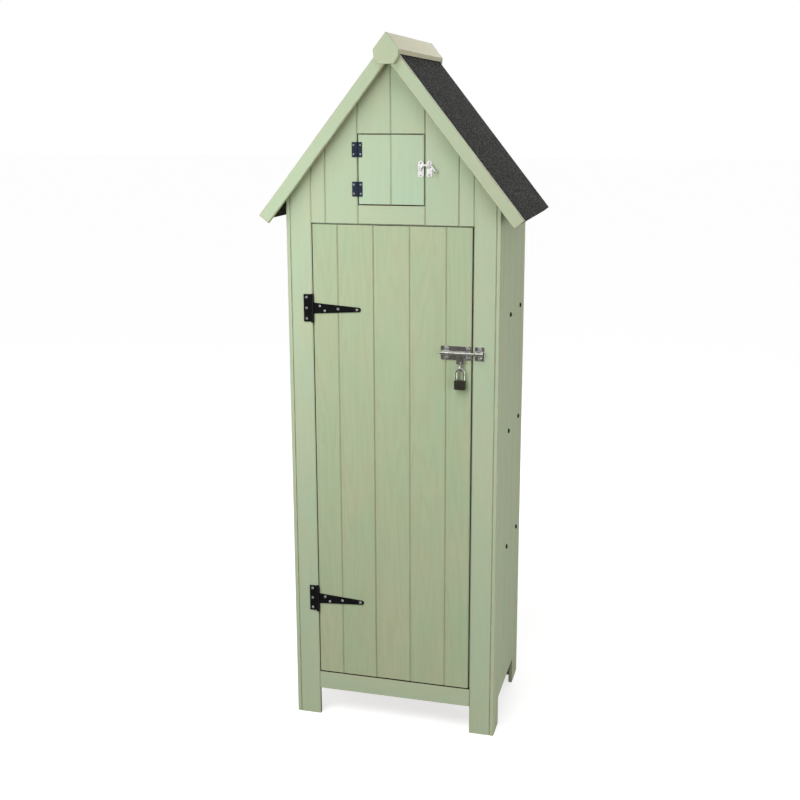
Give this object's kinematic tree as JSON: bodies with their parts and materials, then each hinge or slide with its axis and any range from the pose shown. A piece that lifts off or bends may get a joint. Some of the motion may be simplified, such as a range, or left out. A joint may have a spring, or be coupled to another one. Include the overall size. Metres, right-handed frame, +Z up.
{
  "type": "garden shed",
  "caption": "Tall narrow wooden garden shed on short legs, with a steep felted roof, a ledged door shut by a padlocked bolt and a small hatch in the gable.",
  "frame": {"origin": "on the ground, under the middle of the shed's bounding box", "axes": "X runs across the front to the viewer's right, Y runs from the door to the back, Z is up"},
  "size_m": [0.66, 0.46, 1.78],
  "materials": {
    "sage_paint": "softwood boards in matt pale sage-green stain, worn to bare wood at the edges",
    "door_paint": "the same stain on the door, thinner, with the grain showing",
    "bare_softwood": "bare sawn softwood",
    "roofing_felt": "charcoal bitumen felt with a gritty mineral surface",
    "black_steel": "satin black powder coat",
    "slate_steel": "dull dark slate finish on pressed steel",
    "bright_plate": "bright nickel plate",
    "zinc_screws": "bright zinc plate",
    "lock_enamel": "dark enamel"
  },
  "bodies": {
    "carcass": {"stile_left": "sage_paint", "stile_right": "sage_paint", "bottom_rail": "sage_paint", "gable_boards": "sage_paint", "gable_sill": "sage_paint", "side_boards_left": "sage_paint", "side_boards_right": "sage_paint", "back_boards": "sage_paint", "post_front_left": "sage_paint", "post_front_right": "sage_paint", "post_rear_left": "sage_paint", "post_rear_right": "sage_paint", "head_batten": "sage_paint", "hatch_jambs": "sage_paint", "door_stop_left": "sage_paint", "door_stop_right": "sage_paint", "floor_panel": "bare_softwood", "floor_bearers": "bare_softwood", "shelf_low": "bare_softwood", "shelf_mid": "bare_softwood", "shelf_high": "bare_softwood", "shelf_battens": "bare_softwood", "side_bolts": "black_steel", "roof_boards_left": "bare_softwood", "roof_boards_right": "bare_softwood", "roof_battens": "bare_softwood", "felt_left": "roofing_felt", "felt_right": "roofing_felt", "barge_left": "sage_paint", "barge_right": "sage_paint", "ridge_board_left": "sage_paint", "ridge_board_right": "sage_paint", "ridge_plate_front": "sage_paint", "ridge_plate_rear": "sage_paint", "hinge_plate_low": "black_steel", "hinge_plate_high": "black_steel", "hatch_hinge_frames": "slate_steel", "latch_post": "bright_plate", "bolt_keeper": "bright_plate", "frame_screws": "zinc_screws"},
    "door": {"door_board_1": "door_paint", "door_board_2": "door_paint", "door_board_3": "door_paint", "door_board_4": "door_paint", "door_board_5": "door_paint", "door_ledges": "door_paint", "hinge_strap_low": "black_steel", "hinge_strap_high": "black_steel", "bolt_base": "bright_plate", "door_screws": "zinc_screws"},
    "bolt": {"slide_bolt": "bright_plate"},
    "shackle": {"shackle": "bright_plate"},
    "lock_body": {"padlock_body": "lock_enamel"},
    "hatch": {"hatch_boards": "sage_paint", "hatch_battens": "sage_paint", "hatch_leaves": "slate_steel", "latch_pivot": "bright_plate", "hatch_screws": "zinc_screws"},
    "latch_arm": {"latch_arm": "bright_plate"}
  },
  "joints": [
    {"name": "door_hinge", "type": "hinge", "parent": "carcass", "child": "door", "pos_m": [-0.206, -0.1906, 0.728], "axis": [0, 0, -1], "range_deg": [0, 175]},
    {"name": "hatch_hinge", "type": "hinge", "parent": "carcass", "child": "hatch", "pos_m": [-0.0848, -0.1894, 1.4635], "axis": [0, 0, -1], "range_deg": [0, 140]},
    {"name": "latch_lift", "type": "hinge", "parent": "hatch", "child": "latch_arm", "pos_m": [0.074, -0.19315, 1.466], "axis": [0, -1, 0], "range_deg": [0, 75]},
    {"name": "bolt_slide", "type": "slide", "parent": "door", "child": "bolt", "axis": [1, 0, 0], "range_m": [-0.014, 0.007]},
    {"name": "padlock_swing", "type": "hinge", "parent": "bolt", "child": "shackle", "pos_m": [0.1754, -0.1952, 0.9754], "axis": [0, 1, 0], "range_deg": [-25, 25]},
    {"name": "padlock_release", "type": "slide", "parent": "shackle", "child": "lock_body", "axis": [0, 0, -1], "range_m": [0, 0.007]}
  ]
}
